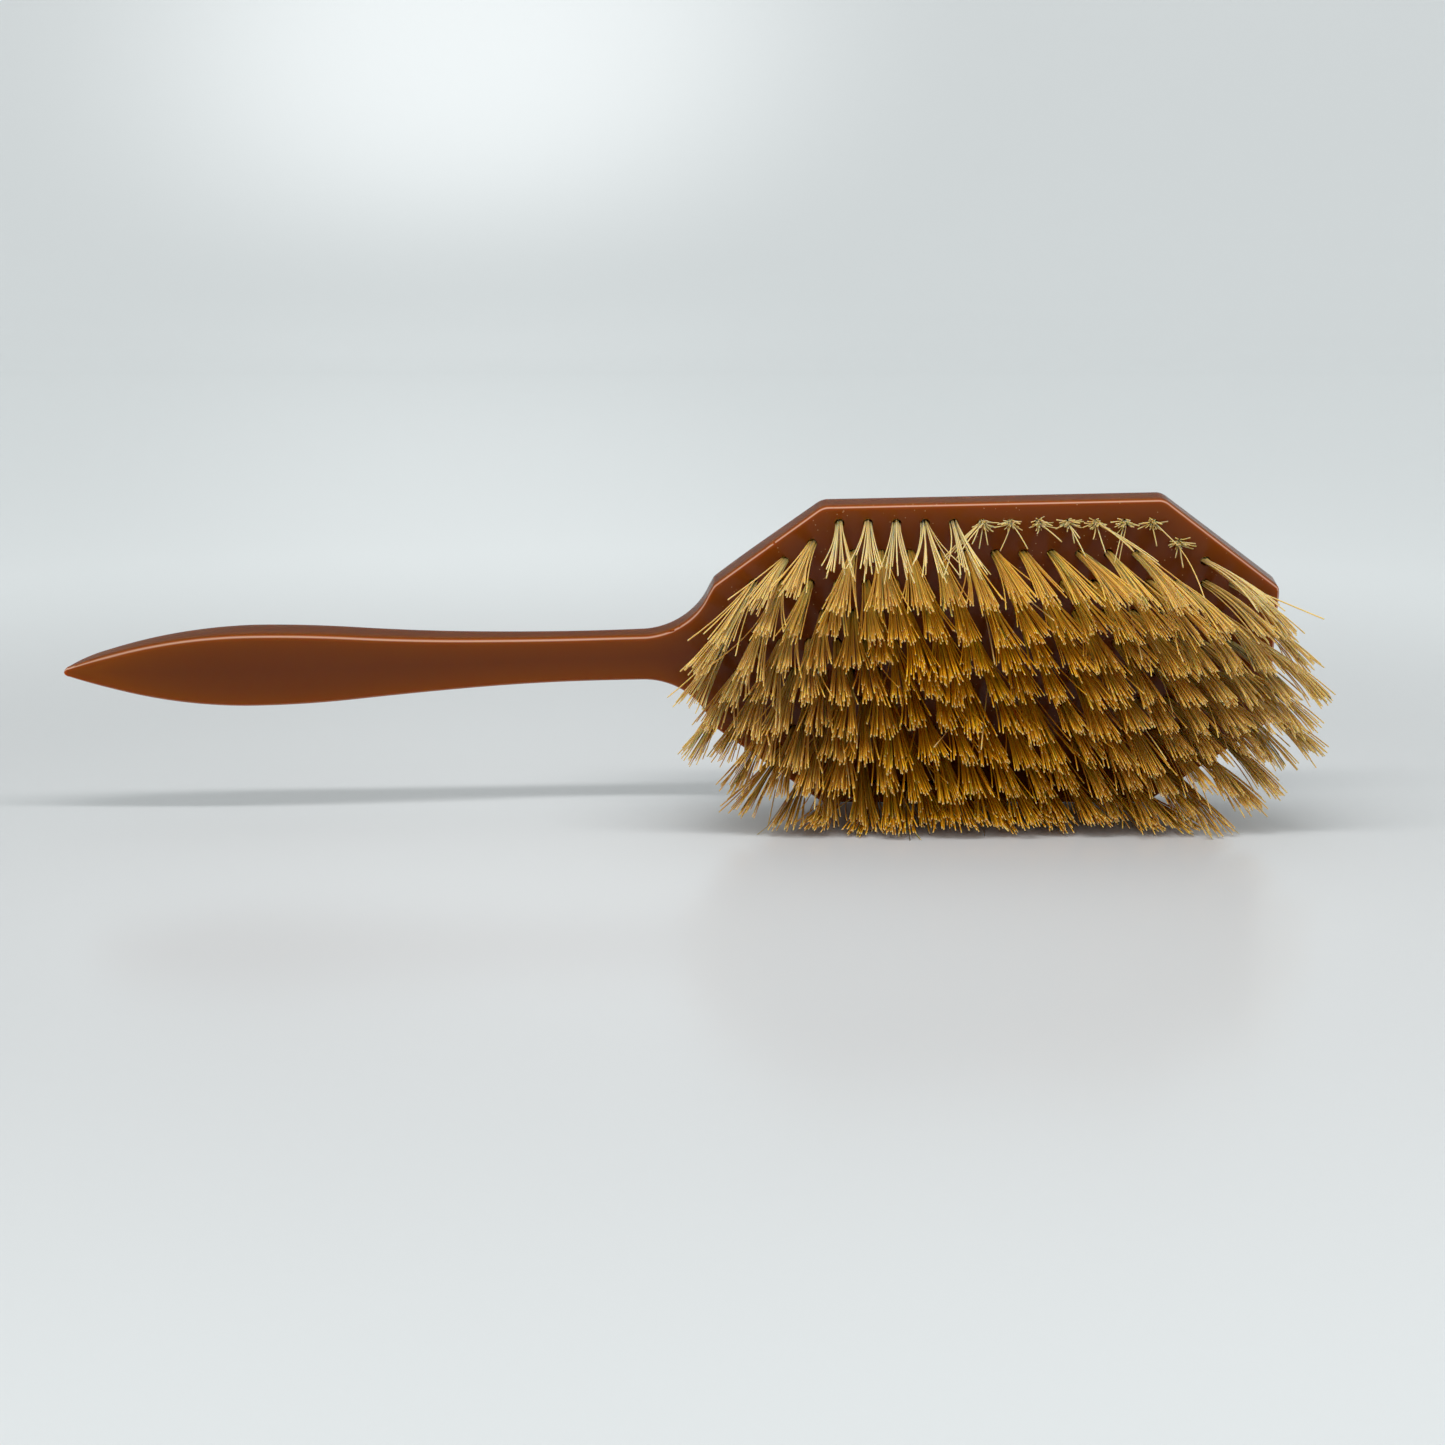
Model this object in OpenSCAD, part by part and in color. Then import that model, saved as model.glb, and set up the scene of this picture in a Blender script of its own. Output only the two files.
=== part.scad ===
// Vanity hairbrush: a one-piece moulded body, tufts of bristle set in blind holes,
// and a small metal anchor that holds each tuft at the bottom of its hole.
//
// The brush is drawn flat first: x runs along it towards the far end of the head,
// y across it, and z out of the bristle face. lay_down() then stands it on the long
// lower edge of the head, leaning forward onto its bristles, with the floor at Z = 0.

/* [Head] */
// Width of the bristle face
head_w = 67.2; // [60:0.2:72]
// Distance from the near corners of the head to its far end
head_len = 116.2; // [112:0.2:124]
// Width of the straight far end
end_w = 30.4; // [24:0.2:34]
// Angle of the four cut-off corners to the brush's axis
corner_angle = 37.5; // [36:0.5:42]
// How much the upper edge opens towards the far end, in degrees
flare = 1.3; // [0:0.1:1.5]
// Height of the head's flat rim
rim_t = 5.8; // [5.4:0.1:7]
// How far the domed back stands proud of the rim
back_crown = 1.6; // [1:0.1:2.5]

/* [Handle] */
// Length from the near corners of the head to the tip of the handle
handle_len = 132.2; // [128:0.2:136]
// Widest part of the grip
grip_w = 15.9; // [14:0.1:18]
// Narrowest part of the neck
neck_w = 9.9; // [9:0.1:11]
// Hollow radius between the neck and the head
shoulder_r = 15; // [14:0.5:16]
// How far the handle's tip stands forward of the bristle face
handle_rise = 8.4; // [5:0.1:10]
// Thickness of the neck
neck_t = 5.2; // [4.5:0.1:6]
// Thickness of the grip
grip_t = 7; // [6:0.1:7.4]

/* [Bristles] */
// Number of rows across the head
row_count = 10; // [10:1:10]
// Distance from row to row
row_pitch = 6.5; // [6.2:0.1:6.6]
// Distance from tuft to tuft in a row
tuft_pitch = 5.77; // [5.6:0.01:6]
// Diameter of a tuft hole
hole_d = 2; // [1.8:0.1:2.2]
// Depth of a tuft hole
hole_depth = 4.2; // [3.8:0.1:4.4]
// Free length of a tuft
bristle_len = 27; // [22:0.5:28]
// Width of a tuft at its tip
tip_d = 4.2; // [3:0.1:4.4]
// Lean of the tufts for each millimetre along the head, in degrees
fan_rate = 0.3; // [0.25:0.01:0.4]

/* [Resting pose] */
// Forward lean of the head when the brush lies on its side, in degrees
lean = 9.4; // [8.5:0.1:10]

/* [Hidden] */

$fn = 48;
big = 200;      // larger than any cross-section
lap = 0.5;      // how far neighbouring areas of the plan run into each other

// Plan of the head, with x = 0 at its near corners.
half_w = head_w / 2;
corner_slope = tan(corner_angle);
near_y = 15.7;                                      // half width at the near corners
near_x = (half_w - near_y) / corner_slope;          // start of the long lower edge
far_x = head_len - (half_w - end_w / 2) / corner_slope;
middle_x = head_len / 2 - 0.6;                      // middle of the bristle field
function upper_y(x) = half_w + (x - middle_x) * tan(flare);
// The upper corners lie where the cut-offs meet the opened edge.
near_top_x = (upper_y(0) - near_y) / (corner_slope - tan(flare));
far_top_x = (end_w / 2 + corner_slope * head_len - upper_y(0)) / (corner_slope + tan(flare));

// Plan of the handle.
neck_half = neck_w / 2;
grip_half = grip_w / 2;
shoulder_x = -14.5;         // where the hollow shoulder runs out into the neck
neck_x = -24;               // end of the parallel neck
grip_x = -94;               // widest part of the grip
grip_front_r = 240;         // swell of the grip towards the neck
tip_r = 1;                  // rounding of the pointed tip
tip_x = -handle_len;
// The grip's swell and the neck's hollow are two arcs that meet at one slope.
swell_slope = 2 * (grip_half - neck_half) / (neck_x - grip_x);
swell_end_x = grip_x + grip_front_r * swell_slope;
hollow_r = (neck_x - swell_end_x) / swell_slope;
// The grip's rear arc passes through the centre of the rounded tip.
tip_run = grip_x - tip_x - tip_r;
rear_r = (tip_run * tip_run + pow(grip_half - tip_r, 2)) / (2 * (grip_half - tip_r));

// Side profile: the face is flat, rises in a hollow arc and levels out at the tip.
rise_x = 17;                // where the face leaves the flat
turn_x = -50;               // where the hollow arc turns into the round one
level_x = -123;             // where the face is level again
rise_slope = 2 * handle_rise / (rise_x - level_x);
full_t = rim_t + back_crown;
tip_t = 3;
function face_z(x) =
    x > rise_x ? 0 :
    x > turn_x ? pow(rise_x - x, 2) * rise_slope / (2 * (rise_x - turn_x)) :
    x > level_x ? handle_rise - pow(x - level_x, 2) * rise_slope / (2 * (turn_x - level_x)) :
    handle_rise;
// Blends smoothly from a to b while x goes from start to end.
function ease(x, start, end, a, b) =
    let (t = min(1, max(0, (x - start) / (end - start)))) a + (b - a) * t * t * (3 - 2 * t);
function thickness(x) =
    x > neck_x ? ease(x, rise_x, neck_x, full_t, neck_t) :
    x > grip_x ? ease(x, neck_x, grip_x, neck_t, grip_t) :
    tip_t + (grip_t - tip_t) * sqrt(max(0, (x - tip_x) / (grip_x - tip_x)));
function profile_x(i) = tip_x + i * (rise_x - tip_x) / profile_steps;
profile_steps = 50;
crown_r = (half_w * half_w + back_crown * back_crown) / (2 * back_crown);

// The tuft field: rows lie row_pitch apart, and every other row is shifted half a pitch.
mid_row = (row_count + 1) / 2;
row_half_short = 31.9;      // half length of the outermost rows
row_half_long = 54.9;       // half length of the rows that reach both ends
row_step = 9.7;             // growth of the half length from row to row
plug_r = hole_d / 2 - 0.1;
plug_proud = 0.35;          // how far the plug stands out of its hole
root_r = 0.6;               // radius of the free part of a tuft where it leaves the plug
anchor = [0.35, 1.7, 1];
upright_x = 38;             // where along the head the tufts stand straight out
end_fan = [-18, 24];        // lean of the last tufts at the near and far ends, in degrees
end_share = [1, 0.55, 0.25];    // how far the last three tufts of a row take up that lean
top_droop = 13.3;           // droop of the top row below the horizontal, in degrees
row_droop = 0.65;           // what each further row droops more
function row_y(row) = (mid_row - row) * row_pitch;
function row_shift(row) = (row % 2) * tuft_pitch / 2;
function row_half(row) = min(row_half_long, row_half_short + row_step * (mid_row - 1 - abs(mid_row - row)));
function row_steps(row) = floor(((by_corners(row) ? corner_tufts[0][0] - 0.8 * tuft_pitch : row_half(row))
    - row_shift(row)) / tuft_pitch);
function end_rank(row, i) = row_steps(row) - i + (by_corners(row) ? len(corner_tufts) : 0);
function level_spots(row) = [for (side = [-1, 1], i = [0 : row_steps(row)])
    if (side > 0 || i > 0 || row_shift(row) > 0)
        spot(row, side, row_shift(row) + i * tuft_pitch, row_y(row), end_rank(row, i))];
// In the rows next to the outermost ones the last tufts follow the cut-off corners. Each is
// [distance from the middle of the head, how far it stands outwards from its row].
corner_tufts = [[37.2, 2.2], [42.9, -1.6]];
function by_corners(row) = row == 2 || row == row_count - 1;
function corner_spots(row) = !by_corners(row) ? [] : [for (side = [-1, 1], i = [0 : len(corner_tufts) - 1])
    spot(row, side, corner_tufts[i][0],
        row_y(row) + sign(row_y(row)) * corner_tufts[i][1], len(corner_tufts) - 1 - i)];
// The tufts of a row, each as [x, y, lean along the head].
function spots(row) = concat(level_spots(row), corner_spots(row));
function spot(row, side, out, y, rank) =
    let (x = middle_x + side * out, own = (x - upright_x) * fan_rate, end = end_fan[side > 0 ? 1 : 0])
    [x, y, own + (end - own) * share(rank) * looseness(row, side)];
function share(rank) = rank < len(end_share) ? end_share[rank] : 0;
// The end tufts of the top row and of the far end's upper rows keep closer to their neighbours.
function looseness(row, side) = row == 1 ? 0.15 : side > 0 && row < 8 ? 0.3 : 1;
// No tuft droops further than until its tip rests on the surface.
function droop(row, y) = min(top_droop + row_droop * (row - 1),
    asin(min(1, ((half_w + y) * cos(lean) - tip_d / 2) / bristle_len)));

// The origin is on the floor under the middle of the whole brush: centre_x along it,
// and centre_out in front of the middle of the face.
centre_x = -3.8;
centre_out = 10.2;
module lay_down()
    translate([-centre_x, centre_out, half_w * cos(lean)]) rotate([90 + lean, 0, 0]) children();

// The head, with a hollow shoulder that narrows it down to the neck.
module head_plan() difference() {
    polygon([
        [shoulder_x, near_y], [0, near_y],
        [near_top_x, upper_y(near_top_x)], [far_top_x, upper_y(far_top_x)],
        [head_len, end_w / 2], [head_len, -end_w / 2],
        [far_x, -half_w], [near_x, -half_w], [0, -near_y], [shoulder_x, -near_y]]);
    mirrored() translate([shoulder_x, neck_half + shoulder_r]) arc_circle(shoulder_r);
}

// A strip of the plan between two x positions, as high as the whole brush.
module strip(x0, x1) translate([x0, -big / 2]) square([x1 - x0, big]);

module mirrored() { children(); mirror([0, 1]) children(); }

module arc_circle(r) circle(r = r, $fn = 200);

module handle_plan() {
    translate([neck_x, -neck_half]) square([shoulder_x - neck_x + lap, neck_w]);
    difference() {
        translate([swell_end_x, -grip_half]) square([neck_x - swell_end_x + lap, grip_w]);
        mirrored() translate([neck_x, neck_half + hollow_r]) arc_circle(hollow_r);
    }
    intersection() {
        strip(grip_x, swell_end_x + lap);
        translate([grip_x, grip_half - grip_front_r]) arc_circle(grip_front_r);
        translate([grip_x, grip_front_r - grip_half]) arc_circle(grip_front_r);
    }
    intersection() {
        strip(tip_x + tip_r, grip_x + lap);
        translate([grip_x, grip_half - rear_r]) arc_circle(rear_r);
        translate([grip_x, rear_r - grip_half]) arc_circle(rear_r);
    }
    translate([tip_x + tip_r, 0]) circle(r = tip_r);
}

module side_profile() polygon(concat(
    [for (i = [0 : profile_steps]) [profile_x(i), face_z(profile_x(i))]],
    [[head_len + 1, 0], [head_len + 1, -full_t - 1], [rise_x, -full_t - 1]],
    [for (i = [profile_steps : -1 : 0]) [profile_x(i), face_z(profile_x(i)) - thickness(profile_x(i))]]));

module brush_body() color([0.45, 0.22, 0.11]) lay_down() difference() {
    intersection() {
        translate([0, 0, -big / 2]) union() {
            linear_extrude(big) head_plan();
            linear_extrude(big) handle_plan();
        }
        rotate([90, 0, 0]) translate([0, 0, -big / 2]) linear_extrude(big) side_profile();
        translate([tip_x - 1, 0, crown_r - full_t]) rotate([0, 90, 0])
            cylinder(r = crown_r, h = head_len - tip_x + 2, $fn = 200);
    }
    for (row = [1 : row_count], spot = spots(row))
        translate([spot.x, spot.y, -hole_depth]) cylinder(d = hole_d, h = hole_depth + 2);
}

// One tuft: its doubled end is a plug that fills the hole, and its free end widens
// towards the tips.
module tuft(row, spot) translate([spot.x, spot.y, 0]) {
    translate([0, 0, anchor.z - hole_depth])
        cylinder(r = plug_r, h = hole_depth - anchor.z + plug_proud);
    rotate([droop(row, spot.y) - lean, spot.z, 0])
        cylinder(r1 = root_r, r2 = tip_d / 2, h = bristle_len);
}

module tuft_row(row) color([0.78, 0.56, 0.22]) lay_down()
    for (spot = spots(row)) tuft(row, spot);

module anchor_row(row) color([0.72, 0.6, 0.35]) lay_down()
    for (spot = spots(row))
        translate([spot.x, spot.y, anchor.z / 2 - hole_depth]) cube(anchor, center = true);

brush_body();
tuft_row(1);  // tuft_row_01
tuft_row(2);  // tuft_row_02
tuft_row(3);  // tuft_row_03
tuft_row(4);  // tuft_row_04
tuft_row(5);  // tuft_row_05
tuft_row(6);  // tuft_row_06
tuft_row(7);  // tuft_row_07
tuft_row(8);  // tuft_row_08
tuft_row(9);  // tuft_row_09
tuft_row(10);  // tuft_row_10
anchor_row(1);  // anchor_row_01
anchor_row(2);  // anchor_row_02
anchor_row(3);  // anchor_row_03
anchor_row(4);  // anchor_row_04
anchor_row(5);  // anchor_row_05
anchor_row(6);  // anchor_row_06
anchor_row(7);  // anchor_row_07
anchor_row(8);  // anchor_row_08
anchor_row(9);  // anchor_row_09
anchor_row(10);  // anchor_row_10
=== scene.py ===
"""Vanity hairbrush: the looks of the moulded amber body, its bristle tufts and their anchors."""
import math
import random

import bpy
import bmesh
from bpy.props import FloatProperty, FloatVectorProperty, IntProperty, PointerProperty
from mathutils import Matrix, Vector


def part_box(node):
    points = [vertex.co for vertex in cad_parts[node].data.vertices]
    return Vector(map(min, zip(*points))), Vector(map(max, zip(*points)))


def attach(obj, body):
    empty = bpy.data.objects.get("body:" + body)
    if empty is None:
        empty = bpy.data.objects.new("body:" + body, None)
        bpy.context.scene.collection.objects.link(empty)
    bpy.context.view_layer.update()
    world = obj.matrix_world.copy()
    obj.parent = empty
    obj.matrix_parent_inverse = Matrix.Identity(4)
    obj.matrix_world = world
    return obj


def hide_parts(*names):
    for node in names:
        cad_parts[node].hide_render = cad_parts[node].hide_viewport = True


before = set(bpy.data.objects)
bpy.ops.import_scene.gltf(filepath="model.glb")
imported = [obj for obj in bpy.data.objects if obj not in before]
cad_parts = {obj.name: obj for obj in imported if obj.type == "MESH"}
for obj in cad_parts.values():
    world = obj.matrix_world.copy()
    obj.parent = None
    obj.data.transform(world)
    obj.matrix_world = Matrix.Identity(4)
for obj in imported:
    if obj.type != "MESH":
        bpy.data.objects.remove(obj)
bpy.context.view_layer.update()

bl_info = {
    "name": "Vanity hairbrush",
    "version": (1, 0, 0),
    "blender": (4, 5, 0),
    "location": "View3D > Sidebar > Hairbrush",
    "description": "Builds the body, bristles and anchors of a vanity hairbrush, and its stage",
    "category": "Object",
}

MM = 0.001
BODY_NODE = "brush_body"
ROW_COUNT = 10
END_SHARE = (1.0, 0.55, 0.25)    # how far the last three tufts of a row take up the end's lean
CORNER_TUFTS = ((37.2 * MM, 2.2 * MM), (42.9 * MM, -1.6 * MM))    # along and out, from the middle
TIP_RADIUS = 2.1 * MM            # half the depth of a tuft at its tip
WORN_FROM = 5                    # tufts of the top row from here on are worn down to stubs
LONG_STRAYS = (WORN_FROM, WORN_FROM + 4)    # stubs that keep a few long bristles
FLARE_AT_ROOT, FLARE_IN_BEND = 0.35, 0.65   # where a bristle takes up its splay
# Chips in the upper edge of the face: where along it, and how large.
CHIPS = ((-8.6 * MM, 0.55 * MM), (-6.9 * MM, 0.4 * MM), (-9.6 * MM, 0.35 * MM),
         (12.2 * MM, 0.42 * MM), (10.6 * MM, 0.3 * MM), (-70.0 * MM, 0.25 * MM))
CHIP_SEED, ROW_SEED = 5, 100
FACE_INSETS = (0.35, 1.0, 1.9, 3.2, 5.2, 8.5, 14.0, 22.0)    # loops on the face, mm from its edge


# ---------------------------------------------------------------- settings

def length(name, description, default_mm, low_mm=0.01, high_mm=1000.0):
    """A length in metres, given in millimetres."""
    return FloatProperty(name=name, description=description, default=default_mm * MM,
                         min=low_mm * MM, max=high_mm * MM, unit="LENGTH", precision=5)


def angle(name, description, degrees, low=-90.0, high=90.0):
    """An angle in radians, given in degrees."""
    return FloatProperty(name=name, description=description, default=math.radians(degrees),
                         min=math.radians(low), max=math.radians(high), unit="ROTATION")


def factor(name, description, default, low=0.0, high=1.0):
    """A plain number on a slider."""
    return FloatProperty(name=name, description=description, default=default,
                         min=low, max=high, subtype="FACTOR")


def colour(name, description, default):
    """A linear colour."""
    return FloatVectorProperty(name=name, description=description, default=default,
                               size=3, min=0.0, max=1.0, subtype="COLOR")


class BodySettings(bpy.types.PropertyGroup):
    """Sizes and colours of the moulded body, as drawn flat before it is laid down."""
    head_width: length("Head width", "Width of the bristle face", 67.2)
    head_length: length("Head length", "From the near corners of the head to its far end", 116.2)
    end_width: length("End width", "Width of the straight far end", 30.4)
    near_width: length("Near width", "Width of the head at its near corners", 31.4)
    corner_angle: angle("Corner angle", "Angle of the cut-off corners to the axis", 37.5)
    flare: angle("Flare", "How much the upper edge opens towards the far end", 1.3)
    rim: length("Rim", "Height of the flat rim", 5.8)
    crown: length("Crown", "How far the domed back stands proud of the rim", 1.6)
    handle_length: length("Handle length", "From the near corners to the tip", 132.2)
    grip_width: length("Grip width", "Widest part of the grip", 15.9)
    neck_width: length("Neck width", "Narrowest part of the neck", 9.9)
    shoulder_radius: length("Shoulder radius", "Hollow between the neck and the head", 15.0)
    handle_rise: length("Handle rise", "How far the handle's tip stands forward of the face", 8.4)
    neck_thickness: length("Neck thickness", "Thickness of the neck", 5.2)
    grip_thickness: length("Grip thickness", "Thickness of the grip", 7.0)
    lean: angle("Lean", "Forward lean of the head when it lies on its side", 9.4)
    middle_out: length("Middle out", "Middle of the face in front of the brush's middle", 10.2)
    edge_round: length("Face edge", "Rounding of the edge round the face", 0.75)
    back_round: length("Back edge", "Rounding of the edge round the back", 1.3)
    amber: colour("Amber", "Colour of the thick parts of the moulding", (0.143, 0.033, 0.007))
    glow: colour("Edge amber", "Colour where light comes through", (0.235, 0.056, 0.0015))
    gloss: factor("Roughness", "Roughness of the polished surface", 0.14)


class BristleSettings(bpy.types.PropertyGroup):
    """Sizes and colours of the tufts."""
    row_pitch: length("Row pitch", "From row to row", 6.5)
    tuft_pitch: length("Tuft pitch", "From tuft to tuft in a row", 5.77)
    hole: length("Hole", "Diameter of a tuft hole", 2.0)
    hole_depth: length("Hole depth", "Depth of a tuft hole", 4.2)
    reach: length("Reach", "Free length of the bristles", 27.0)
    thickness: length("Bristle", "Diameter of one bristle", 0.27)
    hairs: IntProperty(name="Bristles", description="Bristles that one tuft shows",
                       default=34, min=4, max=60)
    splay: angle("Splay", "How far the outer bristles of a tuft lean out", 4.4)
    fan: FloatProperty(name="Fan", default=300.0,
                       description="Lean of the tufts, in degrees for each metre along the head")
    upright: length("Upright", "Where along the head the tufts stand straight out", 38.0)
    near_fan: angle("Near fan", "Lean of the last tufts at the near end of the head", -18.0)
    far_fan: angle("Far fan", "Lean of the last tufts at the far end of the head", 24.0)
    top_droop: angle("Top droop", "Droop of the top row below the horizontal", 13.3)
    row_droop: angle("Row droop", "What each further row droops more", 0.65)
    gold: colour("Golden", "Colour of the bristles inside the brush", (0.63, 0.272, 0.008))
    lit_straw: colour("Straw", "Colour of the outer bristles", (0.6, 0.43, 0.19))
    cut: colour("Cut end", "Colour of the pale cut ends", (0.66, 0.43, 0.2))


class StageSettings(bpy.types.PropertyGroup):
    """The floor, backdrop, lights and camera."""
    camera_distance: length("Camera distance", "In front of the brush", 494.0)
    camera_height: length("Camera height", "Above the floor", 150.5)
    camera_side: length("Camera side", "Towards the far end of the head", 5.9)
    tilt: angle("Tilt", "How far the camera looks down", 14.6)
    lens: FloatProperty(name="Lens", description="Focal length on a 36 mm sensor", default=62.28)
    fold: length("Fold", "Where the floor turns up behind the brush", 1400.0, 1.0, 5000.0)
    # The floor round the brush is darker: painted shade that eases out into the backdrop colour.
    near: colour("Floor", "Colour of the floor round the brush", (0.56, 0.57, 0.575))
    far: colour("Backdrop", "Colour of the backdrop and the open floor", (0.88, 0.905, 0.91))
    sky: factor("Sky", "Strength of the soft light all round", 0.8, 0.0, 5.0)
    strip: FloatProperty(name="Strip", description="Power of the strip light",
                         default=0.56, min=0.0, unit="POWER")
    backlight: FloatProperty(name="Backlight", description="Power of the light on the backdrop",
                             default=8.5, min=0.0, unit="POWER")


def body_settings():
    return bpy.context.scene.hairbrush_body


def bristle_settings():
    return bpy.context.scene.hairbrush_bristles


def stage_settings():
    return bpy.context.scene.hairbrush_stage


# ---------------------------------------------------------------- the brush drawn flat

def soft_min(a, b, radius):
    """The smaller of two values, with the corner between them rounded."""
    if radius <= 0:
        return min(a, b)
    overlap = max(radius - abs(a - b), 0.0) / radius
    return min(a, b) - overlap * overlap * radius / 4


def ease(x, start, end, a, b):
    """Blends smoothly from a to b while x goes from start to end."""
    t = min(1.0, max(0.0, (x - start) / (end - start)))
    return a + (b - a) * t * t * (3 - 2 * t)


class FlatBrush:
    """Outline and heights of the brush: x along it from the head's near corners,
    y across it, z out of the face."""
    SHOULDER, NECK, GRIP = -14.5 * MM, -24 * MM, -94 * MM
    GRIP_SWELL = 240 * MM
    RISE, TURN, LEVEL = 17 * MM, -50 * MM, -123 * MM
    TIP_ROUND = 1 * MM
    TIP_THICKNESS = 3 * MM
    CORNER_SOFT, NEAR_SOFT = 0.9 * MM, 2.2 * MM

    def __init__(self, s):
        self.s = s
        self.half = s.head_width / 2
        self.end_half = s.end_width / 2
        self.near = s.near_width / 2
        self.slope = math.tan(s.corner_angle)
        self.open = math.tan(s.flare)
        self.middle = s.head_length / 2 - 0.6 * MM
        self.tip = -s.handle_length
        self.grip_half, self.neck_half = s.grip_width / 2, s.neck_width / 2
        swell = 2 * (self.grip_half - self.neck_half) / (self.NECK - self.GRIP)
        self.swell_end = self.GRIP + self.GRIP_SWELL * swell
        self.hollow = (self.NECK - self.swell_end) / swell
        run = self.GRIP - self.tip - self.TIP_ROUND
        rise = self.grip_half - self.TIP_ROUND
        self.rear = (run * run + rise * rise) / (2 * rise)
        self.rise_slope = 2 * s.handle_rise / (self.RISE - self.LEVEL)
        self.full = s.rim + s.crown
        self.crown_radius = (self.half ** 2 + s.crown ** 2) / (2 * s.crown)
        self.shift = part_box(BODY_NODE)[1].x - s.head_length

    def lay_down(self):
        """Stands the flat drawing on the long lower edge of the head, leaning forward."""
        s = self.s
        place = Vector((self.shift, s.middle_out, self.half * math.cos(s.lean)))
        return Matrix.Translation(place) @ Matrix.Rotation(math.pi / 2 + s.lean, 4, "X")

    def half_width(self, x, side):
        """Half the width at x, above the axis (side 1) or below it (side -1)."""
        tip, near = self.tip + self.TIP_ROUND, self.near
        if x < tip:
            return math.sqrt(max(self.TIP_ROUND ** 2 - (x - tip) ** 2, 0.0))
        if x < self.GRIP:
            return self.grip_half - self.rear + math.sqrt(self.rear ** 2 - (x - self.GRIP) ** 2)
        if x < self.swell_end:
            r = self.GRIP_SWELL
            return self.grip_half - r + math.sqrt(r * r - (x - self.GRIP) ** 2)
        if x < self.NECK:
            r = self.hollow
            return self.neck_half + r - math.sqrt(r * r - (x - self.NECK) ** 2)
        if x < self.SHOULDER:
            return self.neck_half
        r = self.s.shoulder_radius
        hollow = self.neck_half + r - math.sqrt(max(r * r - (x - self.SHOULDER) ** 2, 0.0))
        if x > self.SHOULDER + r:
            hollow = 1.0
        edge = self.half + ((x - self.middle) * self.open if side > 0 else 0.0)
        diagonal = near + max(x, 0.0) * self.slope
        far = self.end_half + (self.s.head_length - x) * self.slope
        width = soft_min(soft_min(edge, far, self.CORNER_SOFT), diagonal, self.CORNER_SOFT)
        return soft_min(width, hollow, self.NEAR_SOFT)

    def side_slope(self, x, side):
        """How steeply the outline opens at x, up to what the cut-off corners need."""
        step, steepest = 0.4 * MM, 1.2
        low, high = max(x - step, self.tip), min(x + step, self.s.head_length)
        rise = (self.half_width(high, side) - self.half_width(low, side)) / (high - low)
        return max(-steepest, min(steepest, rise))

    def face(self, x):
        """Height of the face: flat on the head, rising towards the handle's tip."""
        if x > self.RISE:
            return 0.0
        if x > self.TURN:
            return (self.RISE - x) ** 2 * self.rise_slope / (2 * (self.RISE - self.TURN))
        if x > self.LEVEL:
            return self.s.handle_rise - (x - self.LEVEL) ** 2 * self.rise_slope / (
                2 * (self.TURN - self.LEVEL))
        return self.s.handle_rise

    def thickness(self, x):
        """How thick the brush is from its face to its back, where the back isn't domed."""
        s = self.s
        if x > self.NECK:
            return ease(x, self.RISE, self.NECK, self.full, s.neck_thickness)
        if x > self.GRIP:
            return ease(x, self.NECK, self.GRIP, s.neck_thickness, s.grip_thickness)
        along = max(0.0, (x - self.tip) / (self.GRIP - self.tip))
        thick = self.TIP_THICKNESS + (s.grip_thickness - self.TIP_THICKNESS) * math.sqrt(along)
        close = min(1.0, (x - self.tip) / (7 * MM))
        return thick * math.sqrt(max(0.02, 1 - (1 - close) ** 2))

    def back(self, x, y):
        """Height of the back: domed on the head, nearly flat on the handle."""
        crown = self.crown_radius - math.sqrt(self.crown_radius ** 2 - y * y)
        flat = self.face(x) - self.thickness(x)
        return -soft_min(self.full - crown, -flat, 0.5 * MM)


def stations(flat):
    """Positions along the brush, close together where the outline turns."""
    s = flat.s
    far_turn = s.head_length - (flat.half - flat.end_half) / flat.slope
    near_turn = (flat.half - flat.near) / flat.slope
    marks = {round(flat.tip + flat.TIP_ROUND * (1 - math.cos(i * math.pi / 16)), 7)
             for i in range(1, 9)}
    # Where each stretch starts, and the step along it.
    stretches = ((flat.tip + flat.TIP_ROUND, 0.5 * MM), (flat.tip + 12 * MM, 1.25 * MM),
                 (-16 * MM, 0.6 * MM), (-4 * MM, 0.2 * MM), (3 * MM, 1.4 * MM),
                 (near_turn - 3 * MM, 0.25 * MM), (near_turn + 3 * MM, 2.4 * MM),
                 (far_turn - 3 * MM, 0.25 * MM), (far_turn + 3 * MM, 1.4 * MM),
                 (s.head_length - s.edge_round, 0.0))
    for (start, step), (end, _) in zip(stretches, stretches[1:]):
        count = max(1, round((end - start) / step))
        marks.update(round(start + (end - start) * i / count, 7) for i in range(count + 1))
    return sorted(marks)


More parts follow.
